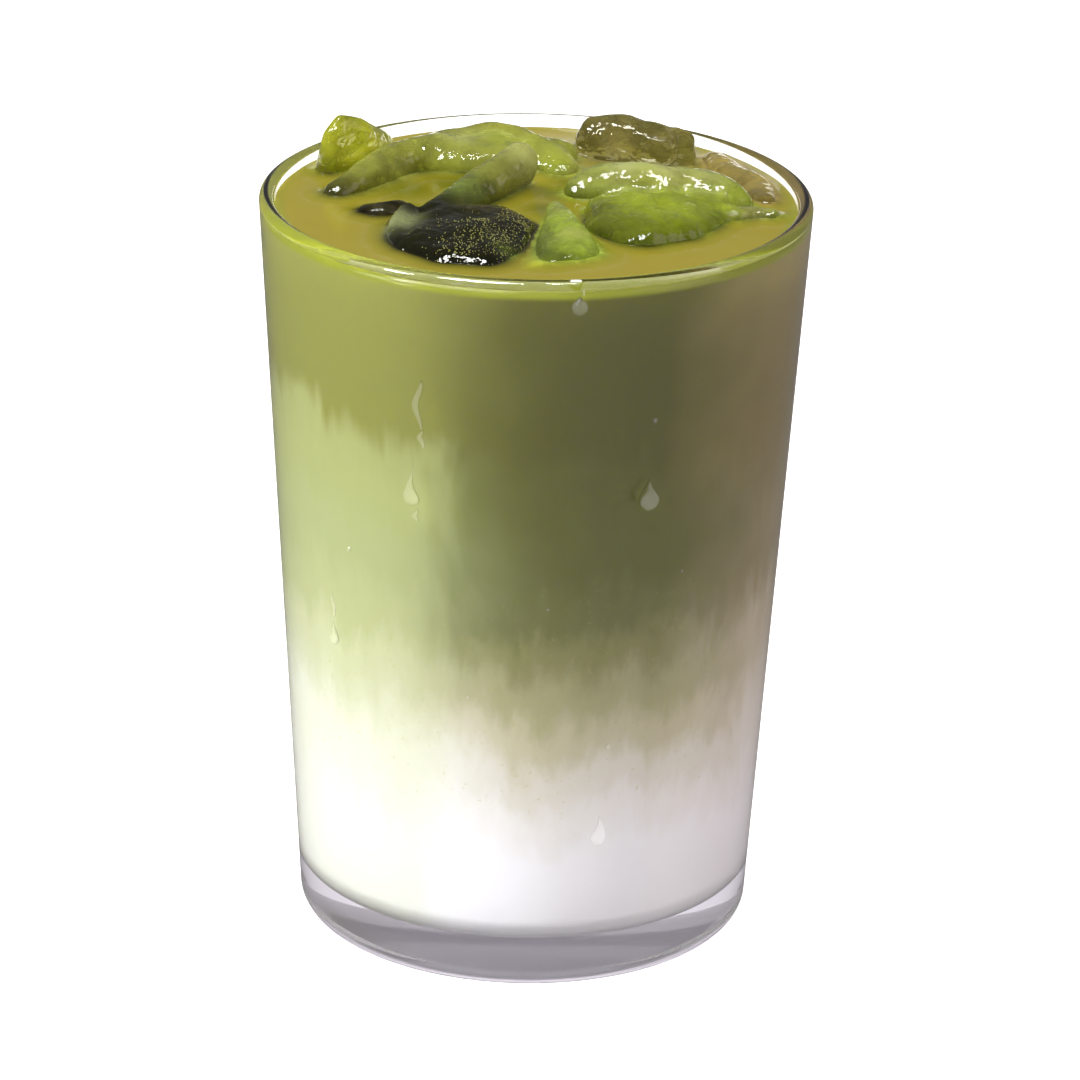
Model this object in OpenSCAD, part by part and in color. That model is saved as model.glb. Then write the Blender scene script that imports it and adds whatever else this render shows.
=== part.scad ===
// Iced matcha latte in a tapered tumbler: clear glass, milk below, matcha above, ice on top.
// The origin is the middle of the glass's foot, +Z is up, and sizes are millimetres.

/* [Glass] */
// Height of the glass
glass_h = 119.5; // [95:0.5:150]
// Outside diameter at the rim
rim_d = 86; // [74:0.5:106]
// Outside diameter of the wall's line where it would meet the table
base_d = 71.4; // [58:0.2:86]
// Wall thickness, measured level
wall = 2.4; // [1.6:0.1:3.4]
// Thickness of the solid glass floor
floor_t = 8; // [4:0.5:14]
// Radius of the outside edge at the foot
heel_r = 3.5; // [1.5:0.1:6]
// Radius of the inside corner at the floor
corner_r = 4; // [1.5:0.1:8]
// Diameter of the hollow under the foot
hollow_d = 48; // [30:1:52]
// Depth of the hollow under the foot
hollow_h = 1.5; // [0.5:0.1:3]

/* [Drink] */
// Height of the milk above the glass floor
milk_h = 38; // [15:1:60]
// Drop from the rim to the drink's surface
drink_gap = 2.5; // [2:0.1:12]

/* [Ice] */
// Diameter of the circle that the ice is laid out in, before it is fitted to the glass
ice_spread_d = 81.6; // [78:0.1:96]
// Least gap between the ice and the wall
ice_wall_gap = 0.3; // [0.1:0.1:2]

/* [Hidden] */
$fn = 96;

ARC_STEPS = 8;        // straight steps in a rounded corner of the glass
DOME_STEPS = 6;       // straight steps in the hollow under the foot
ICE_SIDES = 12;       // sides of a limb of ice

rim_r = rim_d / 2;
base_r = base_d / 2;
slope = (rim_r - base_r) / glass_h;
lean = atan(slope);
lip_r = wall / 2 * cos(lean);
lip_z = glass_h - lip_r;
heel_x = outer_r(heel_r) - heel_r / cos(lean);
corner_z = floor_t + corner_r;
corner_x = inner_r(corner_z) - corner_r / cos(lean);
milk_z = floor_t + milk_h;
drink_z = glass_h - drink_gap;
ice_fit = (inner_r(drink_z) - ice_wall_gap) / (ice_spread_d / 2);

// Radius of the outside and the inside of the wall at a height
function outer_r(z) = base_r + slope * z;
function inner_r(z) = outer_r(z) - wall;

// Points on an arc, from one angle to another
function arc(middle, r, from, to, steps = ARC_STEPS) =
    [for (i = [0 : steps]) let (a = from + (to - from) * i / steps) middle + r * [cos(a), sin(a)]];

// Half the section of the inside of the glass, from the floor up to a height
function inside(top) = concat(
    [[0, floor_t]],
    arc([corner_x, corner_z], corner_r, -90, -lean),
    [[inner_r(top), top], [0, top]]);

// Half the section of the glass: hollow foot, heel, wall, round lip, inside corner, floor
function glass_section() = concat(
    [for (i = [0 : DOME_STEPS]) [hollow_d / 2 * i / DOME_STEPS, hollow_h * (1 - pow(i / DOME_STEPS, 2))]],
    arc([heel_x, heel_r], heel_r, -90, -lean),
    arc([inner_r(lip_z) + wall / 2, lip_z], lip_r, -lean, 180 - lean),
    arc([corner_x, corner_z], corner_r, -lean, -90),
    [[0, floor_t]]);

// ---- Ice: limbs and blocks, laid out by balls of [x, y, height over the drink, radius, half height] ----

// Level direction of a limb at one of its balls
function heading(balls, i) = let (
    from = balls[max(i - 1, 0)], to = balls[min(i + 1, len(balls) - 1)],
    way = [to[0] - from[0], to[1] - from[1], 0])
    way / norm(way);

// Ring of points across a limb, moved along it by a share of its radius
function ring(p, ahead, along, share) = let (side = [-ahead.y, ahead.x, 0])
    [for (k = [0 : ICE_SIDES - 1]) let (a = 360 * k / ICE_SIDES)
        [p[0], p[1], p[2]] + along * p[3] * ahead
            + share * (p[3] * cos(a) * side + p[4] * sin(a) * [0, 0, 1])];

// A rounded limb that passes through its balls in turn
module limb(balls) {
    first = balls[0];
    last = balls[len(balls) - 1];
    start = heading(balls, 0);
    end = heading(balls, len(balls) - 1);
    rings = concat(
        [for (b = [60, 30]) ring(first, start, -sin(b), cos(b))],
        [for (i = [0 : len(balls) - 1]) ring(balls[i], heading(balls, i), 0, 1)],
        [for (b = [30, 60]) ring(last, end, sin(b), cos(b))]);
    count = len(rings) * ICE_SIDES;
    tips = [
        [first[0], first[1], first[2]] - first[3] * start,
        [last[0], last[1], last[2]] + last[3] * end];
    bands = [for (j = [0 : len(rings) - 2], k = [0 : ICE_SIDES - 1])
        let (a = j * ICE_SIDES + k, b = j * ICE_SIDES + (k + 1) % ICE_SIDES)
        each [[a, a + ICE_SIDES, b + ICE_SIDES], [a, b + ICE_SIDES, b]]];
    caps = [for (k = [0 : ICE_SIDES - 1])
        let (b = (k + 1) % ICE_SIDES, low = count - ICE_SIDES)
        each [[count, k, b], [count + 1, low + b, low + k]]];
    polyhedron(points = concat([for (r = rings) each r], tips), faces = concat(bands, caps));
}

// One rounded block that holds all its balls
module chunk(balls) {
    hull() for (p = balls)
        translate([p[0], p[1], p[2]]) scale([p[3], p[3], p[4]]) sphere(1, $fn = ICE_SIDES);
}

// Puts ice on the drink: the layout's own size is fitted to the inside of the glass
module on_drink() {
    translate([0, 0, drink_z]) scale(ice_fit) children();
}

module glass() {
    color([0.86, 0.88, 0.92, 0.45]) rotate_extrude() polygon(glass_section());
}

module milk() {
    color("white") rotate_extrude() polygon(inside(milk_z));
}

module matcha() {
    color([0.50, 0.52, 0.20]) difference() {
        rotate_extrude() polygon([
            [0, milk_z], [inner_r(milk_z), milk_z],
            [inner_r(drink_z), drink_z], [0, drink_z]]);
        ice_fin();
        ice_arch();
        ice_cup();
        ice_knob();
        ice_leaf();
        ice_block();
        ice_sheet();
        ice_sliver();
    }
}

module ice_fin() {
    color([0.62, 0.64, 0.16]) on_drink() chunk([
        [-33, 16, 3.6, 1.7, 4.4], [-31.5, 16.5, 4.6, 2, 5], [-28.6, 18.2, 4.8, 2, 4],
        [-26, 23, 2, 1.8, 3], [-24.6, 26.8, 1, 1.6, 2.4], [-34, 16.5, 0.6, 1.4, 1.8],
        [-31, 20.5, 0, 1.8, 2]]);
}

module ice_arch() {
    color([0.50, 0.54, 0.20]) on_drink() {
        limb([
            [-31.5, 5, 0, 1.5, 1.5], [-29, 8, 0.6, 2.1, 2], [-25, 14.5, 1, 2.6, 2.6],
            [-20.5, 19, 1.4, 3, 2.8], [-15, 21.5, 1.6, 3.4, 3]]);
        chunk([
            [-20.5, 19, 1.4, 3, 2.8], [-15, 20.5, 1.4, 3.4, 3], [-10.5, 20.5, 1.4, 3.4, 3],
            [-5.5, 20, 1.2, 3.2, 2.8], [-2.5, 20, 0.6, 2.8, 2.4], [-17, 25, 1.4, 3, 2.8],
            [-14, 26.5, 1.8, 3.2, 3], [-11, 27, 2.2, 3.4, 3], [-7.5, 28, 2.4, 3.6, 3],
            [-4, 27.5, 2.2, 3.6, 3], [-0.5, 25, 1.4, 3.4, 2.6]]);
        limb([
            [-1.5, 24.5, 1.2, 3.4, 2.6], [2, 22, 0.6, 3, 2.2], [4, 19, 0, 2.4, 1.8]]);
        limb([
            [0, 24.5, 1, 3, 2.2], [4, 25.5, 0.4, 2.2, 2]]);
    }
}

module ice_cup() {
    color([0.18, 0.22, 0.05]) on_drink() {
        chunk([
            [-17.5, -13.5, 0, 4, 3.2], [-12.5, -10, -0.2, 5, 3.8], [-6.5, -9.5, -0.2, 5, 3.8],
            [-2.7, -10.5, -0.6, 3.2, 3.2], [-17.5, -21.5, -0.8, 4, 3.6], [-13, -25.5, -1.2, 4.4, 3.8],
            [-8, -26, -1.2, 4.6, 3.8], [-4.7, -22, -1.4, 3.6, 3.4], [-9.5, -17, 0, 5, 4]]);
        limb([
            [-20, -8.5, 0.4, 1.4, 2.2], [-21, -12.5, 0.2, 1.5, 2.2], [-21, -17, -0.2, 1.6, 2],
            [-19.5, -21.5, -0.8, 1.8, 2]]);
        limb([
            [-15.5, -6.5, 0.4, 2.4, 2.2], [-12, -1, 1.2, 2.6, 2.4], [-8.5, 4, 2, 2.8, 2.6],
            [-5.5, 8, 2.8, 2.8, 2.8], [-3, 11, 3.4, 2.6, 3.2]]);
    }
}

module ice_knob() {
    color([0.60, 0.68, 0.22]) on_drink() chunk([
        [3, -5, 1.6, 1.3, 1.4], [4.3, -10.5, 1.2, 2.1, 2.2], [5.5, -16.5, 0.4, 3, 3],
        [5.5, -23.5, -1.2, 3.8, 3.4], [8.5, -23.5, -1.4, 2.2, 2.4], [1, -27, -1.8, 2.2, 2.2]]);
}

module ice_leaf() {
    color([0.46, 0.54, 0.12]) on_drink() {
        chunk([
            [12, -10.5, -0.8, 4.4, 4], [16.5, -14, -0.6, 5.2, 4.2], [21.5, -11.5, -0.8, 4.8, 4],
            [26.5, -5, -0.8, 3.8, 3.4], [11.5, -1.5, 0.2, 4, 3.2], [17, -4.5, 0.8, 4.6, 3.4],
            [23, -2, 0.4, 4.6, 3.2], [27.5, -0.5, 0.2, 3.4, 2.6]]);
        limb([
            [7.5, 7, 0.4, 2.4, 2.4], [10, 7.5, 1.4, 2.8, 2.8], [15, 6.5, 2, 3.2, 3],
            [20, 5.5, 2, 3.4, 3], [25, 5.5, 1.6, 3.4, 2.9], [29.5, 4, 1, 3, 2.4],
            [32, 2.5, 0.2, 1.8, 1.6]]);
        limb([
            [28.5, -2, 0, 2, 1.6], [31.5, -3, 0.1, 1.2, 1.1], [34, -2, 0.2, 0.8, 0.8],
            [37, -2.5, 0.2, 0.6, 0.6]]);
    }
}

module ice_block() {
    color([0.66, 0.66, 0.42]) on_drink() {
        chunk([
            [9, 26, 5.4, 1.3, 1.3], [11.5, 24.5, 6.4, 1.2, 1.2], [15, 24, 6.6, 1.2, 1.2],
            [20, 21.5, 6, 1.2, 1.2], [20.5, 19.5, 5, 1.2, 1.2], [8, 25.5, 3.4, 1.4, 1.4],
            [8, 30, 0, 1.4, 1.6], [12, 26, 0, 1.4, 1.6], [20.5, 25, 0, 1.2, 1.6],
            [8, 32.5, 0, 1.2, 1.6], [20.5, 31.5, 0, 1.2, 1.6]]);
        chunk([
            [22, 23, 5.4, 0.9, 0.9], [24, 22.5, 4.8, 0.8, 0.8], [24.5, 24, 0, 0.8, 1.4],
            [22, 23.5, 0, 0.9, 1.4], [22, 31, 0, 0.9, 1.4], [24, 29.5, 0, 0.8, 1.4],
            [20.5, 22, 5, 0.9, 0.9], [21, 25.5, 0, 0.9, 1.4]]);
    }
}

module ice_sheet() {
    color([0.62, 0.56, 0.30]) on_drink() {
        limb([
            [28.5, 26, 0, 1.5, 1.2], [31, 20, 0.2, 2.4, 1.3], [35, 12, 0, 2.2, 1.2],
            [36, 5.5, -0.1, 1.6, 1]]);
    }
}

module ice_sliver() {
    color([0.24, 0.22, 0.08]) on_drink() {
        limb([
            [-26.5, -4, -0.2, 1.2, 1], [-24.5, -4.5, 0.1, 1.6, 1.1], [-21.5, -3, 0.1, 1.6, 1.1]]);
    }
}

glass();
milk();
matcha();
ice_fin();
ice_arch();
ice_cup();
ice_knob();
ice_leaf();
ice_block();
ice_sheet();
ice_sliver();
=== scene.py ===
# Looks of an iced matcha latte: a tapered tumbler, milk under matcha, and wet lumps of ice on top
import math

import bmesh
import bpy
import numpy as np
from mathutils import Matrix, Vector
from mathutils.kdtree import KDTree
from mathutils.noise import noise as perlin


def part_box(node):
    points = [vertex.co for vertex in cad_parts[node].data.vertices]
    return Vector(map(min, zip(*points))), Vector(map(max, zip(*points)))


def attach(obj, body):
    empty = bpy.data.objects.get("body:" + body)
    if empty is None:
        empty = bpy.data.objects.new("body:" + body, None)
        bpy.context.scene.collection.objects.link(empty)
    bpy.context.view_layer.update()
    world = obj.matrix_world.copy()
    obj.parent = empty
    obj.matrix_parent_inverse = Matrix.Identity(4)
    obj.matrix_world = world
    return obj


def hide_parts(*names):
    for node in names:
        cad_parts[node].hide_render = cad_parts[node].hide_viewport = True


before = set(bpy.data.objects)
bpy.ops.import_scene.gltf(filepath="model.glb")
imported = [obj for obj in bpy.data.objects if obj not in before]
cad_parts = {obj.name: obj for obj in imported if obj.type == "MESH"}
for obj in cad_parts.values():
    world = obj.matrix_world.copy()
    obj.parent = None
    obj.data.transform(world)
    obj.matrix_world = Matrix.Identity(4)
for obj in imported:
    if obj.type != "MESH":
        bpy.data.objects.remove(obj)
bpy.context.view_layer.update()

MM = 0.001                        # every size below is in millimetres until it meets the mesh
BODY = "root"


# ---- Measures ----

def box_mm(node):
    """Lowest and highest corner of a CAD node, in millimetres."""
    low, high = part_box(node)
    return np.array(low) / MM, np.array(high) / MM


_, glass_high = box_mm("glass")
milk_low, milk_high = box_mm("milk")
_, matcha_high = box_mm("matcha")
# the frame's round pieces are many-sided, so their boxes are a little small
ROUND_LOSS = 1.0005
GLASS_H = glass_high[2]
DRINK_Z = matcha_high[2]
MILK_Z = milk_high[2]
FLOOR_Z = milk_low[2]
INNER_R_TOP = matcha_high[0] * ROUND_LOSS     # inside radius at the drink's surface
INNER_R_MILK = milk_high[0] * ROUND_LOSS      # inside radius at the top of the milk
SLOPE = (INNER_R_TOP - INNER_R_MILK) / (DRINK_Z - MILK_Z)
LEAN = math.atan(SLOPE)
# these seven aren't read from the frame: they repeat the part's own values
WALL = 2.4
HEEL_R = 3.5                      # rounding outside, at the foot
CORNER_R = 4.0                    # rounding inside, at the floor
HOLLOW_R = 24.0                   # the hollow under the foot
HOLLOW_H = 1.5
ICE_SPREAD_R = 40.8               # radius that the ice is laid out in
ICE_WALL_GAP = 0.3
ICE_FIT = (INNER_R_TOP - ICE_WALL_GAP) / ICE_SPREAD_R


def inner_r(z):
    return INNER_R_TOP + SLOPE * (z - DRINK_Z)


def outer_r(z):
    return inner_r(z) + WALL


# ---- Small tools ----

def mesh_object(name, points, faces):
    """A mesh object from points in millimetres."""
    mesh = bpy.data.meshes.new(name)
    mesh.from_pydata((np.asarray(points, float) * MM).tolist(), [], [tuple(map(int, f)) for f in faces])
    mesh.validate()
    mesh.update()
    mesh.polygons.foreach_set("use_smooth", [True] * len(mesh.polygons))
    obj = bpy.data.objects.new(name, mesh)
    bpy.context.scene.collection.objects.link(obj)
    return obj


def settle(obj, name=None):
    """Turns an object with modifiers into a plain mesh object."""
    bpy.context.view_layer.update()
    graph = bpy.context.evaluated_depsgraph_get()
    mesh = bpy.data.meshes.new_from_object(obj.evaluated_get(graph))
    plain = bpy.data.objects.new(name or obj.name + "_plain", mesh)
    bpy.context.scene.collection.objects.link(plain)
    bpy.data.objects.remove(obj)
    if name:
        plain.name = name
    mesh.polygons.foreach_set("use_smooth", [True] * len(mesh.polygons))
    return plain


def points_of(obj):
    """An object's points in millimetres."""
    co = np.empty(len(obj.data.vertices) * 3)
    obj.data.vertices.foreach_get("co", co)
    return co.reshape(-1, 3) / MM


def set_points(obj, points):
    obj.data.vertices.foreach_set("co", (points * MM).ravel())
    obj.data.update()


def normals_of(obj):
    n = np.empty(len(obj.data.vertices) * 3)
    obj.data.vertices.foreach_get("normal", n)
    return n.reshape(-1, 3)


def nearness_tree(points):
    """A tree that finds the nearest of the points."""
    tree = KDTree(len(points))
    for i, point in enumerate(points):
        tree.insert(point, i)
    tree.balance()
    return tree


def arc(x, z, r, start, end, steps):
    """Points on an arc in the section plane, angles in radians."""
    a = np.linspace(start, end, steps + 1)
    return np.stack([x + r * np.cos(a), z + r * np.sin(a)], 1)


def turned_mesh(name, section, sides):
    """A closed solid of revolution: the section is a list of (radius, height), from axis to axis."""
    section = np.asarray(section, float)
    ring = np.linspace(0, 2 * np.pi, sides, endpoint=False)
    inner = section[1:-1]
    points = [np.array([[0, 0, section[0, 1]]])]
    for r, z in inner:
        points.append(np.stack([r * np.cos(ring), r * np.sin(ring), np.full(sides, z)], 1))
    points.append(np.array([[0, 0, section[-1, 1]]]))
    points = np.concatenate(points)
    last = len(points) - 1
    faces = []
    for i in range(sides):
        j = (i + 1) % sides
        faces.append((0, 1 + j, 1 + i))
        for k in range(len(inner) - 1):
            a, b = 1 + k * sides, 1 + (k + 1) * sides
            faces.append((a + i, a + j, b + j, b + i))
        faces.append((last, last - sides + i, last - sides + j))
    return mesh_object(name, points, faces)


# ---- Shader tools ----

class Shader:
    """A material's node tree, with short calls to add and join nodes."""

    def __init__(self, name):
        self.material = bpy.data.materials.new(name)
        self.material.use_nodes = True
        self.tree = self.material.node_tree
        self.tree.nodes.clear()
        self.out = self.add("ShaderNodeOutputMaterial")

    def add(self, kind, values=None, **settings):
        node = self.tree.nodes.new(kind)
        for key, value in settings.items():
            setattr(node, key, value)
        for key, value in (values or {}).items():
            socket = node.inputs[key]
            if isinstance(value, bpy.types.NodeSocket):
                self.tree.links.new(value, socket)
            else:
                socket.default_value = value
        return node

    def math(self, operation, a, b=0.0):
        return self.add("ShaderNodeMath", {0: a, 1: b}, operation=operation).outputs[0]

    def noise(self, vector, scale, detail=3.0, rough=0.5, distortion=0.0):
        node = self.add("ShaderNodeTexNoise", {
            "Vector": vector, "Scale": scale, "Detail": detail, "Roughness": rough,
            "Distortion": distortion})
        return node.outputs["Fac"]

    def step(self, value, low, high, to_low=0.0, to_high=1.0):
        node = self.add("ShaderNodeMapRange", {
            "Value": value, "From Min": low, "From Max": high, "To Min": to_low, "To Max": to_high},
            interpolation_type="SMOOTHSTEP")
        return node.outputs["Result"]

    def mix(self, factor, a, b):
        node = self.add("ShaderNodeMix", data_type="RGBA")
        for index, value in ((0, factor), (6, a), (7, b)):
            if isinstance(value, bpy.types.NodeSocket):
                self.tree.links.new(value, node.inputs[index])
            else:
                node.inputs[index].default_value = value
        return node.outputs[2]

    def stretched(self, vector, scale):
        return self.add("ShaderNodeMapping", {"Vector": vector, "Scale": scale}).outputs["Vector"]

    def finish(self, surface, volume=None):
        self.tree.links.new(surface, self.out.inputs["Surface"])
        if volume is not None:
            self.tree.links.new(volume, self.out.inputs["Volume"])
        return self.material


def clear_surface(shader, principled):
    """Lets lamp light through a clear piece, so that what is behind it is lit."""
    path = shader.add("ShaderNodeLightPath")
    through = shader.add("ShaderNodeBsdfTransparent")
    both = shader.add("ShaderNodeMixShader", {0: path.outputs["Is Shadow Ray"]})
    shader.tree.links.new(principled.outputs[0], both.inputs[1])
    shader.tree.links.new(through.outputs[0], both.inputs[2])
    return both.outputs[0]


# ---- Materials ----

def glass_material():
    s = Shader("clear_glass")
    where = s.add("ShaderNodeTexCoord").outputs["Object"]
    ripple = s.noise(s.stretched(where, (1, 1, 0.4)), 60, 2)
    bump = s.add("ShaderNodeBump", {"Strength": 0.04, "Distance": 0.0005, "Height": ripple})
    smear = s.step(s.noise(where, 240, 4), 0.35, 0.75, 0.0, 0.05)
    body = s.add("ShaderNodeBsdfPrincipled", {
        "Base Color": (1, 1, 1, 1), "Roughness": smear, "IOR": 1.5, "Transmission Weight": 1.0,
        "Normal": bump.outputs["Normal"]})
    tint = s.add("ShaderNodeVolumeAbsorption", {"Color": (0.72, 0.64, 0.78, 1), "Density": 9.0})
    return s.finish(clear_surface(s, body), tint.outputs[0])


def drink_material():
    s = Shader("matcha_and_milk")
    where = s.add("ShaderNodeTexCoord").outputs["Object"]
    xyz = s.add("ShaderNodeSeparateXYZ", {0: where})
    x, z = xyz.outputs["X"], xyz.outputs["Z"]

    # how high the point is in the settling clouds, in metres
    plumes = s.math("SUBTRACT", s.noise(s.stretched(where, (1, 1, 0.30)), 95, 3, 0.55, 0.6), 0.5)
    wisps = s.math("SUBTRACT", s.noise(s.stretched(where, (1, 1, 0.45)), 420, 4, 0.6, 0.4), 0.5)
    height = s.math("ADD", z, s.math("MULTIPLY", plumes, 0.017))
    height = s.math("ADD", height, s.math("MULTIPLY", wisps, 0.006))
    level = s.add("ShaderNodeMapRange", {
        "Value": height, "From Min": 0.022, "From Max": 0.092}).outputs["Result"]

    def ramp(stops):
        node = s.add("ShaderNodeValToRGB", {"Fac": level})
        node.color_ramp.interpolation = "EASE"
        while len(node.color_ramp.elements) < len(stops):
            node.color_ramp.elements.new(0.5)
        for element, (place, colour) in zip(node.color_ramp.elements, stops):
            element.position = place
            element.color = colour
        return node.outputs["Color"]

    milk = (0.955, 0.965, 0.995, 1)
    pale = ramp([(0.0, milk), (0.22, (0.86, 0.88, 0.83, 1)), (0.43, (0.56, 0.59, 0.40, 1)),
                 (0.54, (0.40, 0.435, 0.22, 1)), (0.70, (0.315, 0.355, 0.150, 1)),
                 (0.85, (0.285, 0.320, 0.090, 1)), (1.0, (0.235, 0.250, 0.045, 1))])
    deep = ramp([(0.0, milk), (0.10, (0.89, 0.88, 0.86, 1)), (0.20, (0.76, 0.74, 0.66, 1)),
                 (0.30, (0.58, 0.55, 0.38, 1)), (0.40, (0.40, 0.39, 0.21, 1)),
                 (0.50, (0.245, 0.245, 0.090, 1)),
                 (0.58, (0.150, 0.156, 0.042, 1)), (0.70, (0.112, 0.119, 0.018, 1)),
                 (0.90, (0.098, 0.104, 0.010, 1)), (1.0, (0.084, 0.086, 0.003, 1))])

    # painted shade: the drink is paler on its left, lit side and deeper on its right, in the milk as well
    # as the matcha; part of it is the matcha's own uneven colour
    drift = s.math("MULTIPLY", s.math("SUBTRACT", s.noise(where, 38, 2), 0.5), 0.020)
    side = s.step(s.math("ADD", x, drift), -0.028, 0.005)
    colour = s.mix(side, pale, deep)
    # painted light: a lighter, pinker band at the right edge, where the pink fill light falls
    pink_lit_edge = ramp([(0.0, milk), (0.2, (0.86, 0.83, 0.78, 1)), (0.42, (0.60, 0.55, 0.42, 1)),
                 (0.65, (0.32, 0.275, 0.140, 1)), (1.0, (0.22, 0.18, 0.055, 1))])
    colour = s.mix(s.step(s.math("ADD", x, drift), 0.020, 0.036), colour, pink_lit_edge)

    # a paler green cloud on the left, lit side: painted light laid over the drink's own clouds
    lit_cloud = s.math("MULTIPLY", s.step(s.math("ADD", z, s.math("MULTIPLY", plumes, 0.020)), 0.094, 0.088),
                   s.step(s.math("ADD", x, s.math("MULTIPLY", plumes, 0.012)), -0.010, -0.018))
    colour = s.mix(s.math("MULTIPLY", lit_cloud, 0.30), colour, (0.62, 0.68, 0.34, 1))

    # fine flecks of powder where matcha sinks into the milk
    flecks = s.step(s.noise(where, 1500, 2, 0.5), 0.66, 0.74)
    fleck_zone = s.math("MULTIPLY", s.step(level, 0.03, 0.2), s.step(level, 0.75, 0.4))
    flecks = s.math("MULTIPLY", flecks, s.math("MULTIPLY", fleck_zone, 0.35))
    colour = s.mix(flecks, colour, (0.45, 0.46, 0.12, 1))

    # the surface is browner than the sides and greener at its risen edge; near the ice and in the pools
    # between the pieces it is painted darker and greener, as painted shade at the ice's edges and painted
    # green light passed on through the ice
    y = xyz.outputs["Y"]
    radius = s.math("SQRT", s.math("ADD", s.math("MULTIPLY", x, x), s.math("MULTIPLY", y, y)))
    surface = s.mix(s.noise(where, 70, 3), (0.245, 0.200, 0.010, 1), (0.295, 0.255, 0.035, 1))
    near_ice = s.add("ShaderNodeAttribute", attribute_name="near_ice").outputs["Fac"]
    surface = s.mix(s.math("MULTIPLY", near_ice, 0.85), surface, (0.20, 0.195, 0.008, 1))
    pool = s.add("ShaderNodeAttribute", attribute_name="pool").outputs["Fac"]
    surface = s.mix(s.math("MULTIPLY", pool, 0.9), surface, (0.105, 0.115, 0.001, 1))
    edge = s.step(radius, (INNER_R_TOP - 2.2) * MM, (INNER_R_TOP - 0.6) * MM)
    edge = s.math("MULTIPLY", edge, s.step(y, 0.012, -0.016, 0.15, 1.0))
    surface = s.mix(edge, surface, (0.20, 0.225, 0.015, 1))
    near_top = s.step(z, (DRINK_Z - 1.2) * MM, (DRINK_Z - 0.2) * MM)
    colour = s.mix(near_top, colour, surface)
    # in the pockets under the ice, the tone painted for that piece: the drink's colour with painted light
    # and painted shade
    pocket = s.add("ShaderNodeAttribute", attribute_name="pocket").outputs["Fac"]
    tone_here = s.add("ShaderNodeAttribute", attribute_name="pocket_tone").outputs["Color"]
    swirl = s.step(s.noise(where, 260, 3, 0.6, 1.0), 0.30, 0.75, 0.55, 1.25)
    tone_here = s.add("ShaderNodeVectorMath", {0: tone_here, 3: swirl}, operation="SCALE").outputs[0]
    colour = s.mix(pocket, colour, tone_here)
    body = s.add("ShaderNodeBsdfPrincipled", {
        "Base Color": colour, "Roughness": 0.12, "IOR": 1.34})
    return s.finish(body.outputs[0])


def ice_material(name, tint, skin_share, frost):
    s = Shader(name)
    where = s.add("ShaderNodeTexCoord").outputs["Object"]
    # shallow ripples everywhere, and patches of fine grain that glint
    patches = s.step(s.noise(where, 190, 3, 0.6), 0.50, 0.66)
    ripple = s.noise(where, 330, 2, 0.5)
    grain = s.math("MULTIPLY", s.noise(where, 1500, 3, 0.6), patches)
    bump = s.add("ShaderNodeBump", {"Strength": 0.8, "Distance": 0.0010, "Height": ripple})
    fine = s.add("ShaderNodeBump", {
        "Strength": 0.6, "Distance": 0.00022, "Height": grain, "Normal": bump.outputs["Normal"]})
    body = s.add("ShaderNodeBsdfPrincipled", {
        "Base Color": tint, "Roughness": s.math("MULTIPLY", patches, 0.06), "IOR": 1.31,
        "Transmission Weight": 1.0, "Normal": fine.outputs["Normal"]})
    # the painted tone of the drink in the ice, with its painted light and shade: painted shade darkens it
    # at the waterline, and it is paler on the parts that face up
    tone_here = s.add("ShaderNodeAttribute", attribute_name="tone").outputs["Color"]
    height = s.add("ShaderNodeSeparateXYZ", {0: where}).outputs["Z"]
    wobble = s.math("MULTIPLY", s.math("SUBTRACT", s.noise(where, 300, 3), 0.5), 0.003)
    rise = s.step(s.math("ADD", height, wobble), DRINK_Z * MM, (DRINK_Z + 2.4) * MM, 0.35, 1.1)
    marble = s.step(s.noise(s.stretched(where, (1, 1, 1.6)), 170, 3, 0.5, 0.8), 0.34, 0.66, 0.75, 1.2)
    rise = s.math("MULTIPLY", rise, marble)
    deep = s.add("ShaderNodeVectorMath", {0: tone_here, 3: rise}, operation="SCALE").outputs[0]
    normal = s.add("ShaderNodeNewGeometry").outputs["Normal"]
    facing = s.add("ShaderNodeSeparateXYZ", {0: normal}).outputs["Z"]
    bloom = s.math("MULTIPLY", s.step(facing, 0.45, 0.95), s.step(s.noise(where, 600, 4, 0.6), 0.30, 0.75))
    deep = s.mix(s.math("MULTIPLY", bloom, frost), deep, (0.55, 0.56, 0.30, 1))
    skin = s.add("ShaderNodeBsdfPrincipled", {
        "Base Color": deep, "Roughness": 0.07, "IOR": 1.42, "Normal": fine.outputs["Normal"]})
    both = s.add("ShaderNodeMixShader", {0: skin_share})
    s.tree.links.new(body.outputs[0], both.inputs[1])
    s.tree.links.new(skin.outputs[0], both.inputs[2])
    return s.finish(clear_surface(s, both))


# ---- Ice: limbs that pass through balls, and blocks wrapped round balls ----
# A ball is x, y, height over the drink, radius and half height, in millimetres

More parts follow.
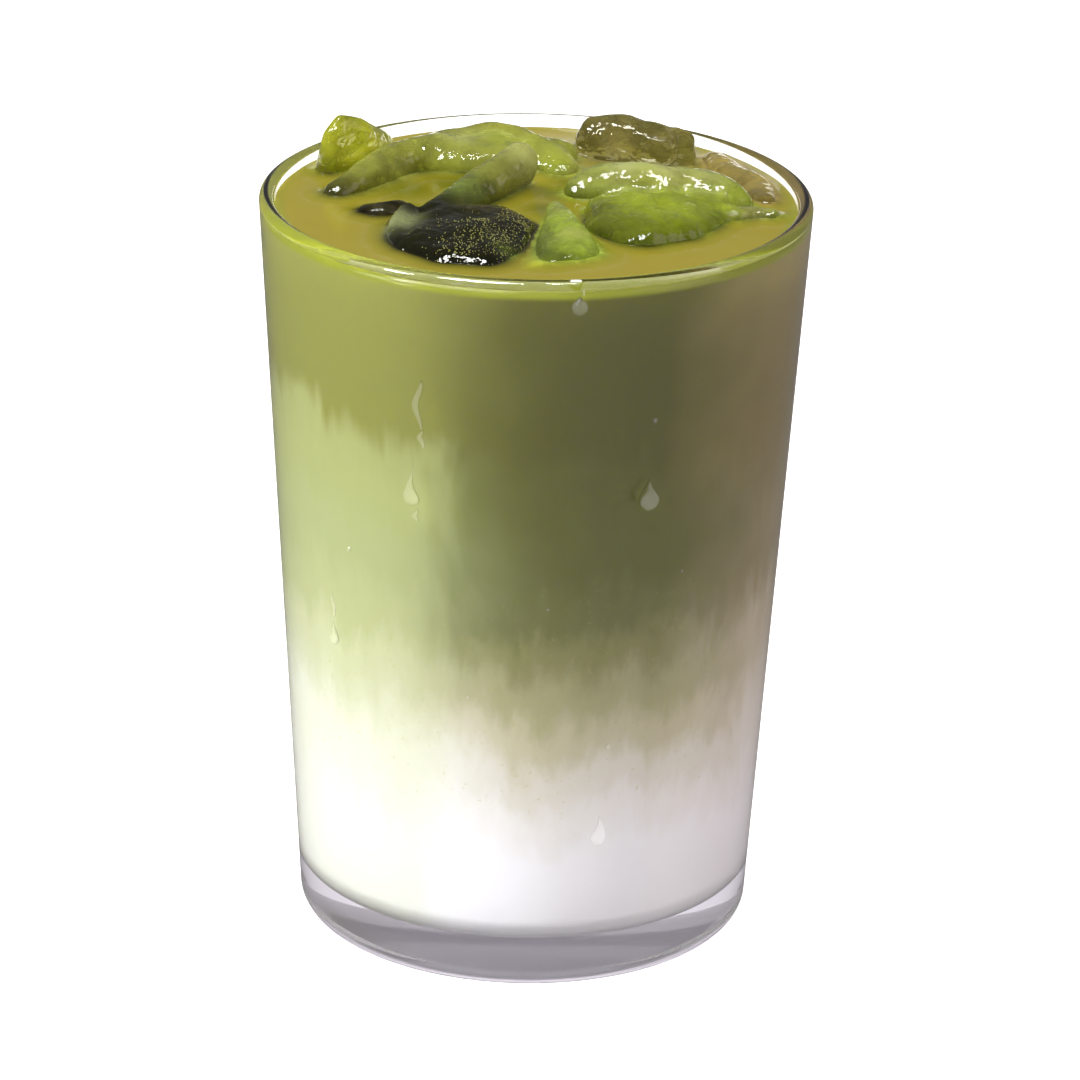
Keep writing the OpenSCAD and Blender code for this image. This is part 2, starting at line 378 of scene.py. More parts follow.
LIMB, CHUNK = "limb", "chunk"
ICE = {
    "ice_fin": [
        (CHUNK, [
            (-33, 16, 3.6, 1.7, 4.4), (-31.5, 16.5, 4.6, 2, 5), (-28.6, 18.2, 4.8, 2, 4),
            (-26, 23, 2, 1.8, 3), (-24.6, 26.8, 1, 1.6, 2.4), (-34, 16.5, 0.6, 1.4, 1.8),
            (-31, 20.5, 0, 1.8, 2)])],
    "ice_arch": [
        (LIMB, [
            (-31.5, 5, 0, 1.5, 1.5), (-29, 8, 0.6, 2.1, 2), (-25, 14.5, 1, 2.6, 2.6),
            (-20.5, 19, 1.4, 3, 2.8), (-15, 21.5, 1.6, 3.4, 3)]),
        (CHUNK, [
            (-20.5, 19, 1.4, 3, 2.8), (-15, 20.5, 1.4, 3.4, 3), (-10.5, 20.5, 1.4, 3.4, 3),
            (-5.5, 20, 1.2, 3.2, 2.8), (-2.5, 20, 0.6, 2.8, 2.4), (-17, 25, 1.4, 3, 2.8),
            (-14, 26.5, 1.8, 3.2, 3), (-11, 27, 2.2, 3.4, 3), (-7.5, 28, 2.4, 3.6, 3),
            (-4, 27.5, 2.2, 3.6, 3), (-0.5, 25, 1.4, 3.4, 2.6)]),
        (LIMB, [
            (-1.5, 24.5, 1.2, 3.4, 2.6), (2, 22, 0.6, 3, 2.2), (4, 19, 0, 2.4, 1.8)]),
        (LIMB, [
            (0, 24.5, 1, 3, 2.2), (4, 25.5, 0.4, 2.2, 2)])],
    "ice_cup": [
        (CHUNK, [
            (-17.5, -13.5, 0, 4, 3.2), (-12.5, -10, -0.2, 5, 3.8), (-6.5, -9.5, -0.2, 5, 3.8),
            (-2.7, -10.5, -0.6, 3.2, 3.2), (-17.5, -21.5, -0.8, 4, 3.6),
            (-13, -25.5, -1.2, 4.4, 3.8), (-8, -26, -1.2, 4.6, 3.8), (-4.7, -22, -1.4, 3.6, 3.4),
            (-9.5, -17, 0, 5, 4)]),
        (LIMB, [
            (-20, -8.5, 0.4, 1.4, 2.2), (-21, -12.5, 0.2, 1.5, 2.2), (-21, -17, -0.2, 1.6, 2),
            (-19.5, -21.5, -0.8, 1.8, 2)]),
        (LIMB, [
            (-15.5, -6.5, 0.4, 2.4, 2.2), (-12, -1, 1.2, 2.6, 2.4), (-8.5, 4, 2, 2.8, 2.6),
            (-5.5, 8, 2.8, 2.8, 2.8), (-3, 11, 3.4, 2.6, 3.2)])],
    "ice_knob": [
        (CHUNK, [
            (3, -5, 1.6, 1.3, 1.4), (4.3, -10.5, 1.2, 2.1, 2.2), (5.5, -16.5, 0.4, 3, 3),
            (5.5, -23.5, -1.2, 3.8, 3.4), (8.5, -23.5, -1.4, 2.2, 2.4), (1, -27, -1.8, 2.2, 2.2)])],
    "ice_leaf": [
        (CHUNK, [
            (12, -10.5, -0.8, 4.4, 4), (16.5, -14, -0.6, 5.2, 4.2), (21.5, -11.5, -0.8, 4.8, 4),
            (26.5, -5, -0.8, 3.8, 3.4), (11.5, -1.5, 0.2, 4, 3.2), (17, -4.5, 0.8, 4.6, 3.4),
            (23, -2, 0.4, 4.6, 3.2), (27.5, -0.5, 0.2, 3.4, 2.6)]),
        (LIMB, [
            (7.5, 7, 0.4, 2.4, 2.4), (10, 7.5, 1.4, 2.8, 2.8), (15, 6.5, 2, 3.2, 3),
            (20, 5.5, 2, 3.4, 3), (25, 5.5, 1.6, 3.4, 2.9), (29.5, 4, 1, 3, 2.4),
            (32, 2.5, 0.2, 1.8, 1.6)]),
        (LIMB, [
            (28.5, -2, 0, 2, 1.6), (31.5, -3, 0.1, 1.2, 1.1), (34, -2, 0.2, 0.8, 0.8),
            (37, -2.5, 0.2, 0.6, 0.6)])],
    "ice_block": [
        (CHUNK, [
            (9, 26, 5.4, 1.3, 1.3), (11.5, 24.5, 6.4, 1.2, 1.2), (15, 24, 6.6, 1.2, 1.2),
            (20, 21.5, 6, 1.2, 1.2), (20.5, 19.5, 5, 1.2, 1.2), (8, 25.5, 3.4, 1.4, 1.4),
            (8, 30, 0, 1.4, 1.6), (12, 26, 0, 1.4, 1.6), (20.5, 25, 0, 1.2, 1.6),
            (8, 32.5, 0, 1.2, 1.6), (20.5, 31.5, 0, 1.2, 1.6)]),
        (CHUNK, [
            (22, 23, 5.4, 0.9, 0.9), (24, 22.5, 4.8, 0.8, 0.8), (24.5, 24, 0, 0.8, 1.4),
            (22, 23.5, 0, 0.9, 1.4), (22, 31, 0, 0.9, 1.4), (24, 29.5, 0, 0.8, 1.4),
            (20.5, 22, 5, 0.9, 0.9), (21, 25.5, 0, 0.9, 1.4)])],
    "ice_sheet": [
        (LIMB, [
            (28.5, 26, 0, 1.5, 1.2), (31, 20, 0.2, 2.4, 1.3), (35, 12, 0, 2.2, 1.2),
            (36, 5.5, -0.1, 1.6, 1)])],
    "ice_sliver": [
        (LIMB, [
            (-26.5, -4, -0.2, 1.2, 1), (-24.5, -4.5, 0.1, 1.6, 1.1), (-21.5, -3, 0.1, 1.6, 1.1)])],
}

# hollows and grooves melted into the ice: middle, reach and depth
DENTS = {
    "ice_fin": [((-29.6, 14.6, 5.0), 2.6, 1.1), ((-27.0, 15.6, 3.4), 2.0, 0.6)],
    "ice_arch": [((-22.0, 15.0, 2.0), 2.0, 0.5), ((-12.0, 24.3, 5.0), 2.6, 0.7),
                 ((-2.0, 22.5, 3.6), 1.8, 0.5)],
    "ice_cup": [((-13.0, -4.6, 1.8), 1.4, 0.7), ((-9.6, -0.6, 2.6), 1.3, 0.7), ((-6.4, 3.2, 3.2), 1.3, 0.7),
                ((-9.5, -13.5, 3.4), 3.0, 0.9), ((-18.6, -12.5, 1.8), 1.2, 0.5)],
    "ice_knob": [((2.4, -18.0, 1.6), 2.0, 0.5)],
    "ice_leaf": [((13.0, 2.4, 3.4), 1.6, 0.8), ((18.0, 1.4, 4.2), 1.6, 0.8), ((23.0, 1.6, 3.8), 1.6, 0.8),
                 ((19.5, -7.0, 3.6), 2.6, 0.6)],
    "ice_block": [((13.0, 22.4, 3.0), 2.4, 0.6), ((16.5, 24.0, 8.0), 1.8, 0.5)],
    "ice_sheet": [], "ice_sliver": [],
}

# colour painted on each piece and its pocket: the drink's colour seen through the ice, with dark spots of
# painted shade low down and at the front, and pale spots that are partly the drink's green and partly
# painted light; its own, then spots of middle, reach and colour
TONES = {
    "ice_fin": [(0.40, 0.42, 0.030), ((-33.5, 14.0, 1.0), 3.4, (0.03, 0.035, 0.006)),
                ((-30.5, 18.0, 9.6), 1.9, (0.10, 0.12, 0.02)),
                ((-25.0, 24.0, 4.4), 2.8, (0.20, 0.24, 0.03)),
                ((-29.0, 15.0, -0.5), 2.0, (0.16, 0.18, 0.02))],
    "ice_arch": [(0.24, 0.26, 0.040), ((-31.5, 5.0, 0.5), 4.2, (0.035, 0.032, 0.008)),
                 ((-24.0, 12.5, -0.4), 2.4, (0.05, 0.06, 0.010)),
                 ((-18.5, 16.5, -0.4), 2.4, (0.06, 0.08, 0.012)),
                 ((-12.0, 17.0, -0.4), 2.6, (0.06, 0.08, 0.012)),
                 ((-5.0, 17.0, -0.4), 2.6, (0.07, 0.09, 0.014)),
                 ((-13.0, 23.0, 4.8), 3.4, (0.36, 0.40, 0.15)),
                 ((-5.0, 22.0, 4.0), 3.2, (0.24, 0.29, 0.04)),
                 ((-17.0, 27.0, 4.0), 2.6, (0.10, 0.12, 0.02)),
                 ((1.5, 22.5, 2.0), 3.2, (0.27, 0.31, 0.045)),
                 ((3.5, 18.0, 0.0), 2.2, (0.30, 0.40, 0.04))],
    # the cup's own tone is painted shade, nearly black, for its shadowed hollow; its rims and limbs are
    # paler spots
    "ice_cup": [(0.008, 0.009, 0.001), ((-21.5, -14.0, 1.8), 3.0, (0.26, 0.30, 0.12)),
                ((-9.0, -6.5, 3.4), 3.0, (0.07, 0.055, 0.012)),
                ((-3.0, -9.0, 2.5), 2.4, (0.09, 0.08, 0.02)),
                ((-12.0, -1.0, 3.0), 3.6, (0.16, 0.21, 0.04)),
                ((-7.5, 5.0, 3.6), 4.0, (0.27, 0.30, 0.05)),
                ((-3.0, 11.0, 5.0), 3.8, (0.48, 0.51, 0.15)),
                ((-3.6, -25.0, 0.5), 2.0, (0.10, 0.14, 0.015))],
    "ice_knob": [(0.22, 0.29, 0.030), ((4.0, -8.0, 3.0), 3.2, (0.20, 0.22, 0.07)),
                 ((1.5, -17.0, 1.0), 2.6, (0.13, 0.17, 0.02)),
                 ((8.8, -24.0, 0.0), 2.6, (0.34, 0.46, 0.04)),
                 ((0.0, -28.5, -0.4), 2.0, (0.40, 0.46, 0.04)),
                 ((6.0, -20.0, 2.2), 2.2, (0.34, 0.36, 0.09))],
    "ice_leaf": [(0.215, 0.27, 0.008), ((8.0, 7.0, 2.4), 3.6, (0.28, 0.31, 0.09)),
                 ((14.0, 6.6, 4.2), 3.8, (0.36, 0.38, 0.17)), ((20.5, 5.6, 4.2), 3.8, (0.36, 0.37, 0.17)),
                 ((27.0, 4.6, 3.0), 3.8, (0.32, 0.34, 0.14)),
                 ((9.4, -7.0, 1.0), 4.2, (0.045, 0.040, 0.006)),
                 ((11.5, -15.0, 0.0), 4.6, (0.018, 0.02, 0.003)),
                 ((17.5, -19.0, 0.2), 4.4, (0.012, 0.018, 0.002)),
                 ((23.5, -15.5, 0.0), 4.0, (0.03, 0.04, 0.004)),
                 ((28.5, -9.0, 0.0), 3.6, (0.06, 0.075, 0.008)),
                 ((34.0, -2.0, 0.4), 3.6, (0.22, 0.22, 0.08)),
                 ((16.0, 1.6, 3.0), 2.2, (0.16, 0.19, 0.03))],
    "ice_block": [(0.16, 0.14, 0.035), ((8.0, 24.0, 3.5), 2.6, (0.03, 0.032, 0.006)),
                  ((12.0, 24.5, 7.6), 3.4, (0.05, 0.05, 0.010)),
                  ((18.5, 22.0, 7.4), 2.6, (0.05, 0.05, 0.010)),
                  ((13.5, 23.5, 3.6), 3.2, (0.36, 0.30, 0.10)),
                  ((19.0, 22.0, 3.0), 2.4, (0.13, 0.15, 0.035)),
                  ((23.5, 23.0, 3.0), 2.2, (0.12, 0.15, 0.03))],
    "ice_sheet": [(0.24, 0.19, 0.05)],
    # the sliver is a low edge of ice painted nearly black: painted shade of the hollow that it lies in
    "ice_sliver": [(0.016, 0.014, 0.002)],
}

# greener light on the drink in the hollows between the pieces: x, y and reach
POOLS = [(-20, 8, 5.5), (-13, 11, 5.5), (-6, 14, 4.0), (3, 8, 4.5), (6, 13, 4.0), (1, 0, 3.5)]

ICE_LOOKS = {                     # tint, share of skin painted with the drink's colour and painted light and shade, frost, pieces
    "green_ice": ((0.90, 0.92, 0.42, 1), 0.52, 0.08, ("ice_fin", "ice_arch", "ice_knob")),
    "leaf_ice": ((0.90, 0.92, 0.42, 1), 0.62, 0.06, ("ice_leaf",)),
    "dark_ice": ((0.75, 0.76, 0.30, 1), 0.78, 0.0, ("ice_cup",)),
    "clear_ice": ((0.92, 0.90, 0.62, 1), 0.32, 0.15, ("ice_block", "ice_sheet", "ice_sliver"))}
ICE_VOXEL = 0.30                  # grid that joins the balls of a piece
FILLET = 1.5                      # how far limbs are swollen before they melt, and pieces shrunk after
# share of it that chunks are swollen by; ice_block is also shrunk by this share only
CHUNK_FILLET = 0.4
# how much of the shrinking each piece is spared, in millimetres, and the same for the pieces not named
GROWTH = {"ice_fin": 1.0, "ice_arch": 0.7, "ice_knob": 0.9, "ice_leaf": 0.8, "ice_cup": 0.6}
OTHER_GROWTH = 0.5
BALL_STEPS = 11                   # balls put between one ball of the layout and the next
SWELL, SWELL_SIZE = 0.35, 6.0     # height and length of the slow waves on the ice
CHOP, CHOP_SIZE = 0.03, 1.6       # the same for the quick ones


def smooth_path(balls):
    """Balls on a smooth curve through the given balls."""
    b = np.array(balls, float)
    b = np.concatenate([[2 * b[0] - b[1]], b, [2 * b[-1] - b[-2]]])
    out = []
    for i in range(1, len(b) - 2):
        for t in np.arange(BALL_STEPS) / BALL_STEPS:
            out.append(0.5 * (2 * b[i] + (b[i + 1] - b[i - 1]) * t
                              + (2 * b[i - 1] - 5 * b[i] + 4 * b[i + 1] - b[i + 2]) * t ** 2
                              + (3 * b[i] - b[i - 1] - 3 * b[i + 1] + b[i + 2]) * t ** 3))
    return np.array(out + [b[-2]])


def on_drink(points):
    """The layout's own measures, fitted to the glass and lifted to the drink."""
    return points * ICE_FIT + np.array([0, 0, DRINK_Z])


def tones_at(points, name):
    """The colour painted on a piece at each point: the drink's colour with painted light and shade."""
    own, *spots = TONES[name]
    out = np.ones((len(points), 4))
    out[:, :3] = own
    for middle, reach, colour in spots:
        gap = np.linalg.norm(points - on_drink(np.array(middle)), axis=1)
        near = np.exp(-(gap / reach) ** 2)[:, None]
        out[:, :3] = out[:, :3] * (1 - near) + near * np.array(colour)
    return out


def paint(obj, name, values):
    """Stores a number or a colour on each point of a mesh."""
    kind, key = ("FLOAT", "value") if values.ndim == 1 else ("FLOAT_COLOR", "color")
    obj.data.attributes.new(name, kind, "POINT").data.foreach_set(key, values.ravel())


def ice_piece(name):
    """The limbs and blocks of a piece, melted into one skin."""
    shape = bmesh.new()
    for kind, balls in ICE[name]:
        part = bmesh.new()
        fill = FILLET if kind == LIMB else CHUNK_FILLET * FILLET
        for x, y, z, r, h in (smooth_path(balls) if kind == LIMB else balls):
            place = Matrix.Translation((x, y, z)) @ Matrix.Diagonal((r + fill, r + fill, h + fill, 1))
            bmesh.ops.create_icosphere(part, subdivisions=3, radius=1, matrix=place)
        if kind == CHUNK:
            bmesh.ops.delete(part, geom=part.edges[:], context="EDGES_FACES")
            bmesh.ops.convex_hull(part, input=part.verts[:])
            loose = [v for v in part.verts if not v.link_faces]
            bmesh.ops.delete(part, geom=loose, context="VERTS")
        part_mesh = bpy.data.meshes.new(name + "_part")
        part.to_mesh(part_mesh)
        part.free()
        shape.from_mesh(part_mesh)
        bpy.data.meshes.remove(part_mesh)
    mesh = bpy.data.meshes.new(name)
    shape.to_mesh(mesh)
    shape.free()
    obj = bpy.data.objects.new(name + "_rough", mesh)
    bpy.context.scene.collection.objects.link(obj)
    set_points(obj, on_drink(points_of(obj) * MM))
    remesh = obj.modifiers.new("melt", "REMESH")
    remesh.mode = "VOXEL"
    remesh.voxel_size = ICE_VOXEL * MM
    soften = obj.modifiers.new("soften", "SMOOTH")
    soften.factor = 0.5
    soften.iterations = 14
    obj = settle(obj, name + "_wet")
    p, n = points_of(obj), normals_of(obj)
    share = CHUNK_FILLET if name == "ice_block" else 1.0
    push = np.full(len(p), GROWTH.get(name, OTHER_GROWTH) - FILLET * share * ICE_FIT)
    for middle, reach, depth in DENTS[name]:
        gap = np.linalg.norm(p - on_drink(np.array(middle)), axis=1)
        push -= depth * np.exp(-(gap / reach) ** 2)
    for height, length in ((SWELL, SWELL_SIZE), (CHOP, CHOP_SIZE)):
        push += height * np.array([perlin(Vector(q / length)) for q in p])
    p = p + n * push[:, None]
    set_points(obj, p)
    paint(obj, "tone", tones_at(p, name))
    return obj


ice_pieces = {name: ice_piece(name) for name in ICE}


# ---- Drink: one body from the floor of the glass to the surface ----

INTO_WALL = 0.2                   # how far the drink reaches into the glass
INTO_ICE = 0.12                   # how far it reaches into the ice
RISE_AT_WALL = 0.6
RISE_AT_ICE = 0.55
REACH = 1.3                       # how fast the risen edge falls away
WATERLINE = 0.35                  # how near the surface a point of the ice counts as its waterline
POCKET_DEPTH = 8.0                # how far under the surface the pockets are looked for
POCKET_EDGE = 0.8                 # how fast a pocket's tone fades over the surface
NEAR_ICE = 3.0                    # how fast the green round the ice fades over the surface


def waterline_points():
    """Points of the ice close to the surface of the drink."""
    near = []
    for obj in ice_pieces.values():
        p = points_of(obj)
        near.append(p[np.abs(p[:, 2] - DRINK_Z) < WATERLINE])
    return np.concatenate(near)


def drink_body():
    reach = INTO_WALL
    corner_z = FLOOR_Z + CORNER_R
    corner_x = inner_r(corner_z) - CORNER_R / math.cos(LEAN)
    wall_z = np.linspace(corner_z + 2, DRINK_Z + RISE_AT_WALL, 60)
    section = [[(0, FLOOR_Z - reach)], [(r, FLOOR_Z - reach) for r in np.linspace(4, corner_x - 4, 8)],
               arc(corner_x, corner_z, CORNER_R + reach, -math.pi / 2, -LEAN, 12),
               [(inner_r(z) + reach, z) for z in wall_z]]
    top = np.concatenate([np.linspace(inner_r(DRINK_Z), 37.5, 14), np.linspace(37, 0.5, 74)])
    section += [[(r, DRINK_Z) for r in top], [(0, DRINK_Z)]]
    section = np.concatenate([np.asarray(s, float).reshape(-1, 2) for s in section])
    obj = turned_mesh("drink_rough", section, 288)
    p = points_of(obj)
    r = np.hypot(p[:, 0], p[:, 1])
    on_top = (p[:, 2] > DRINK_Z - 0.01) & (r <= inner_r(DRINK_Z) + 0.001)
    tree = nearness_tree(waterline_points())
    rise = np.zeros(len(p))
    for i in np.nonzero(on_top)[0]:
        gap = tree.find(p[i])[2]
        rise[i] = RISE_AT_ICE * math.exp(-gap / REACH)
    wall = RISE_AT_WALL * np.exp(-(inner_r(DRINK_Z) - r) / REACH)
    p[:, 2] += np.where(on_top, rise + wall, 0)
    set_points(obj, p)
    return obj


def shrunk(obj):
    """A piece of ice, a little smaller than it is, to cut its pocket with."""
    faces = [tuple(f.vertices) for f in obj.data.polygons]
    return mesh_object("cutter", points_of(obj) - normals_of(obj) * INTO_ICE, faces)


def drink_piece():
    obj = drink_body()
    for number, piece in enumerate(ice_pieces.values()):
        cutter = shrunk(piece)
        cut = obj.modifiers.new("pocket", "BOOLEAN")
        cut.operation = "DIFFERENCE"
        cut.object = cutter
        cut.solver = "MANIFOLD"
        obj = settle(obj, "drink_%d" % number)
        bpy.data.objects.remove(cutter)
    obj.name = "drink"
    mark_pockets(obj)
    return obj


def mark_pockets(drink):
    """Gives the drink's points the painted tone of the ice that they lie under, with its painted light and
    shade, and their nearness to ice.
    """
    names = list(ice_pieces)
    skins = [points_of(ice_pieces[name]) for name in names]
    owner = np.repeat(np.arange(len(names)), [len(q) for q in skins])
    skins = np.concatenate(skins)
    tree = nearness_tree(skins)
    p = points_of(drink)
    high = np.nonzero(p[:, 2] > DRINK_Z - POCKET_DEPTH)[0]
    gaps, whose = np.full(len(p), 99.0), np.full(len(p), -1)
    for i in high:
        _, k, gaps[i] = tree.find(p[i])
        whose[i] = owner[k]
    tones = np.ones((len(p), 4))
    for k, name in enumerate(names):
        close = np.nonzero((whose == k) & (gaps < 4 * POCKET_EDGE))[0]
        tones[close] = tones_at(p[close], name)
    # where the surface gets painted green light, in the pools between the pieces
    pool = np.zeros(len(p))
    for x, y, reach in POOLS:
        pool = np.maximum(pool, np.exp(-((p[:, 0] - x) ** 2 + (p[:, 1] - y) ** 2) / reach ** 2))
    paint(drink, "pocket", np.exp(-np.clip(gaps - 2 * INTO_ICE, 0, None) / POCKET_EDGE))
    paint(drink, "near_ice", np.exp(-gaps / NEAR_ICE))
    paint(drink, "pool", pool)
    paint(drink, "pocket_tone", tones)


# ---- Glass ----

def glass_piece():
    lip_r = WALL / 2 * math.cos(LEAN)
    lip_z = GLASS_H - lip_r
    heel_x = outer_r(HEEL_R) - HEEL_R / math.cos(LEAN)
    corner_z = FLOOR_Z + CORNER_R
    corner_x = inner_r(corner_z) - CORNER_R / math.cos(LEAN)
    hollow = [(r, HOLLOW_H * (1 - (r / HOLLOW_R) ** 2)) for r in np.linspace(0, HOLLOW_R, 20)]
    walls_z = np.linspace(HEEL_R + 4, lip_z - 3, 40)
    section = [hollow, [((HOLLOW_R + heel_x) / 2, 0)],
               arc(heel_x, HEEL_R, HEEL_R, -math.pi / 2, -LEAN, 14),
               [(outer_r(z), z) for z in walls_z],
               arc(inner_r(lip_z) + WALL / 2, lip_z, lip_r, -LEAN, math.pi - LEAN, 28),
               [(inner_r(z), z) for z in walls_z[::-1] if z > corner_z + 2],
               arc(corner_x, corner_z, CORNER_R, -LEAN, -math.pi / 2, 14),
               [(r, FLOOR_Z) for r in np.linspace(corner_x - 4, 4, 6)], [(0, FLOOR_Z)]]
    section = np.concatenate([np.asarray(s, float).reshape(-1, 2) for s in section])
    return turned_mesh("tumbler", section, 256)


# ---- Water on the glass ----
# A drop is the way across from the middle of the glass's front, height, half width, length, bulge, sway
# and how far its widest part lies towards its lower end, all in millimetres but the last
DROPS = [
    (6.8, 115.6, 1.25, 3.3, 1.15, 0.0, 0.55), (7.4, 117.9, 0.24, 1.4, 0.2, 0.1, 0.5),
    (-17.6, 98.0, 0.60, 8.4, 0.35, 0.5, 0.45), (-17.0, 92.6, 0.50, 3.2, 0.3, 0.3, 0.5),
    (-18.6, 85.6, 1.35, 8.6, 0.8, 0.3, 0.85), (-17.8, 79.8, 0.45, 2.2, 0.3, 0.2, 0.5),
    (18.6, 83.8, 1.75, 5.4, 0.9, 0.0, 0.65), (19.2, 96.1, 0.40, 1.0, 0.3, 0.0, 0.5),
    (-34.0, 55.6, 1.05, 4.2, 0.55, 0.1, 0.72), (-34.2, 60.0, 0.30, 5.0, 0.2, 0.3, 0.5),
    (11.9, 27.6, 1.30, 5.2, 0.40, 0.2, 0.70), (13.0, 42.0, 0.45, 1.3, 0.25, 0.0, 0.5),
    (-30.5, 71.0, 0.35, 0.9, 0.25, 0.0, 0.5), (3.0, 66.0, 0.28, 0.7, 0.2, 0.0, 0.5),
    (-9.0, 50.5, 0.30, 0.8, 0.2, 0.0, 0.5), (25.0, 70.0, 0.30, 0.7, 0.2, 0.0, 0.5),
]
SINK = 0.10                       # how far a drop's flat side lies inside the glass


def water_drops():
    """Beads and runnels that cling to the outside of the glass, as one mesh of closed drops."""
    points, faces = [], []
    around = 20
    shares = np.linspace(0, 1, 22)[1:-1]
    for across, middle, half, length, bulge, sway, low in DROPS:
        first = len(points)
        for t in shares:
            warped = t ** (math.log(0.5) / math.log(low))
            wide = half * math.sin(math.pi * warped) ** 0.75
            z = middle + length * (0.5 - t)
            side = across + sway * math.sin(7 * t + across)
            for k in range(around):
                a = 2 * math.pi * k / around
                out = bulge * (wide / half) * math.sin(a) if math.sin(a) > 0 else SINK * math.sin(a)
                r = outer_r(z) + out
                turn = (side + wide * math.cos(a)) / outer_r(z)
                points.append((r * math.sin(turn), -r * math.cos(turn), z))
        rows = len(shares)
        for end, z in ((0, middle + length / 2), (1, middle - length / 2)):
            side = across + sway * math.sin(7 * end + across)
            turn = side / outer_r(z)
            points.append((outer_r(z) * math.sin(turn), -outer_r(z) * math.cos(turn), z))
        for j in range(rows - 1):
            for k in range(around):
                n = (k + 1) % around
                faces.append((first + j * around + k, first + j * around + n,
                              first + (j + 1) * around + n, first + (j + 1) * around + k))
        top, bottom = first + rows * around, first + rows * around + 1
        last = first + (rows - 1) * around
        for k in range(around):
            n = (k + 1) % around
            faces += [(top, first + n, first + k), (bottom, last + k, last + n)]
    obj = mesh_object("water_drops", np.array(points), faces)
    shape = bmesh.new()
    shape.from_mesh(obj.data)
    bmesh.ops.recalc_face_normals(shape, faces=shape.faces)
    shape.to_mesh(obj.data)
    shape.free()
    obj.data.shade_smooth()
    return obj


def water_material():
    s = Shader("clear_water")
    where = s.add("ShaderNodeTexCoord").outputs["Object"]
    bump = s.add("ShaderNodeBump", {"Strength": 0.3, "Distance": 0.0003, "Height": s.noise(where, 500, 2)})
    body = s.add("ShaderNodeBsdfPrincipled", {
        "Base Color": (1, 1, 1, 1), "Roughness": s.step(s.noise(where, 900, 3), 0.4, 0.8, 0.0, 0.04),
        "IOR": 1.33, "Transmission Weight": 1.0, "Normal": bump.outputs["Normal"]})
    return s.finish(clear_surface(s, body))


# ---- Bubbles under the skin of the dark ice, scattered by Geometry Nodes ----

# where the bubbles lie: middle and reach
BUBBLY = [((-6.0, -22.0, 2.4), 6.0), ((-1.5, -14.0, 2.6), 4.0), ((-11.0, -26.0, 1.4), 3.6)]


def bubble_material():
    s = Shader("tiny_bubbles")
    where = s.add("ShaderNodeTexCoord").outputs["Object"]
    tone = s.mix(s.noise(where, 700, 2), (0.16, 0.16, 0.02, 1), (0.42, 0.43, 0.14, 1))
    body = s.add("ShaderNodeBsdfPrincipled", {"Base Color": tone, "Roughness": 0.15, "IOR": 1.3})
    return s.finish(body.outputs[0])


def bubbles(source, material):
    """Scatters small balls over the part of a piece that is marked as bubbly."""
    tree = bpy.data.node_groups.new("bubbles", "GeometryNodeTree")
    face = tree.interface
    face.new_socket("Geometry", in_out="INPUT", socket_type="NodeSocketGeometry")
    sizes = {}
    for name, kind, value in (("Bubble Radius", "NodeSocketFloat", 0.085 * MM),
                              ("Bubbles per Area", "NodeSocketFloat", 5.0e6),
                              ("Seed", "NodeSocketInt", 7)):
        sizes[face.new_socket(name, in_out="INPUT", socket_type=kind).identifier] = value
    face.new_socket("Geometry", in_out="OUTPUT", socket_type="NodeSocketGeometry")
    nodes, link = tree.nodes, tree.links.new
    start, end = nodes.new("NodeGroupInput"), nodes.new("NodeGroupOutput")
    mark = nodes.new("GeometryNodeInputNamedAttribute")
    mark.data_type = "FLOAT"
    mark.inputs["Name"].default_value = "bubbly"
    share = nodes.new("ShaderNodeMath")
    share.operation = "MULTIPLY"
    scatter = nodes.new("GeometryNodeDistributePointsOnFaces")
    ball = nodes.new("GeometryNodeMeshIcoSphere")
    ball.inputs["Subdivisions"].default_value = 2
    size = nodes.new("FunctionNodeRandomValue")
    place = nodes.new("GeometryNodeInstanceOnPoints")
    real = nodes.new("GeometryNodeRealizeInstances")
    dress = nodes.new("GeometryNodeSetMaterial")
    dress.inputs["Material"].default_value = material
    link(mark.outputs["Attribute"], share.inputs[0])
    link(start.outputs["Bubbles per Area"], share.inputs[1])
    link(start.outputs["Geometry"], scatter.inputs["Mesh"])
    link(share.outputs[0], scatter.inputs["Density"])
    link(start.outputs["Seed"], scatter.inputs["Seed"])
    link(start.outputs["Bubble Radius"], ball.inputs["Radius"])
    link(start.outputs["Seed"], size.inputs["Seed"])
    floats = [x for x in size.inputs if x.type == "VALUE"]
    floats[0].default_value, floats[1].default_value = 0.45, 1.3
    link(scatter.outputs["Points"], place.inputs["Points"])
    link(ball.outputs["Mesh"], place.inputs["Instance"])
    link([x for x in size.outputs if x.type == "VALUE"][0], place.inputs["Scale"])
    link(place.outputs["Instances"], real.inputs["Geometry"])
    link(real.outputs["Geometry"], dress.inputs["Geometry"])
    link(dress.outputs["Geometry"], end.inputs[0])
    base = bpy.data.objects.new("bubbly_skin", source.data.copy())
    bpy.context.scene.collection.objects.link(base)
    skin = points_of(base)
    thick = np.zeros(len(skin))
    for middle, reach in BUBBLY:
        gap = np.linalg.norm(skin - on_drink(np.array(middle)), axis=1)
        thick = np.maximum(thick, np.exp(-(gap / reach) ** 2))
    thick *= skin[:, 2] > DRINK_Z + 0.3
    paint(base, "bubbly", thick)
    scattered = base.modifiers.new("bubbles", "NODES")
    scattered.node_group = tree
    for socket, value in sizes.items():
        scattered[socket] = value
    return settle(base, "bubbles")


# ---- Put together ----

def show(obj, material, slot, *nodes):
    obj.data.materials.clear()
    obj.data.materials.append(material)
    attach(obj, BODY)
    if nodes:
        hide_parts(*nodes)


